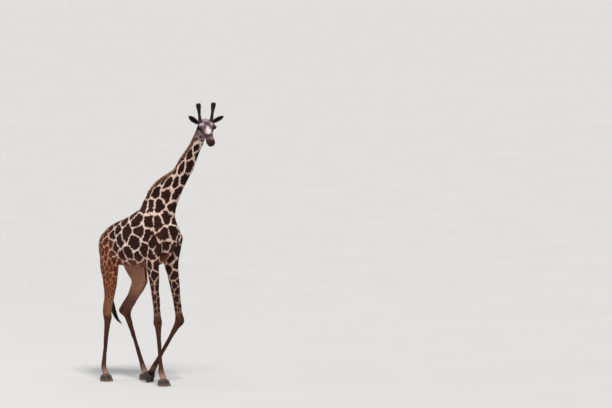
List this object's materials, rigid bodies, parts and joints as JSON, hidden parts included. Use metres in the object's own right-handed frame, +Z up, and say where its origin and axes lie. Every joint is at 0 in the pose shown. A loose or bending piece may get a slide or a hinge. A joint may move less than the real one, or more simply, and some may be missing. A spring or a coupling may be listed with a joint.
{
  "type": "giraffe",
  "caption": "Adult female giraffe in mid walk with its head turned to its right, standing on its hooves; a still model with no moving parts.",
  "frame": {"origin": "on the floor under the middle of the whole model's length and width, at the level of the soles", "axes": "+X is the way the body faces, +Y the animal's left side, +Z up"},
  "size_m": [2.31, 0.7834, 4.1146],
  "materials": {
    "coat": "short flat hair, dark brown patches on a pinkish cream net",
    "hoof": "worn horn, dark and slightly dusty",
    "horn": "bone horns under thin skin with black hair",
    "hair": "long black tail hair",
    "mane": "short upright rust-brown hair",
    "eye": "wet dark brown eyeball"
  },
  "bodies": {
    "root": {"head": "coat", "neck": "coat", "trunk": "coat", "tail": "coat", "tail_tuft": "hair", "mane": "mane", "ossicone_left": "horn", "ear_left": "coat", "eye_left": "eye", "ossicone_right": "horn", "ear_right": "coat", "eye_right": "eye", "fore_right_upper": "coat", "fore_right_lower": "coat", "fore_right_claw_outer": "hoof", "fore_right_claw_inner": "hoof", "fore_left_upper": "coat", "fore_left_lower": "coat", "fore_left_claw_outer": "hoof", "fore_left_claw_inner": "hoof", "hind_right_upper": "coat", "hind_right_lower": "coat", "hind_right_claw_outer": "hoof", "hind_right_claw_inner": "hoof", "hind_left_upper": "coat", "hind_left_lower": "coat", "hind_left_claw_outer": "hoof", "hind_left_claw_inner": "hoof"}
  },
  "joints": []
}
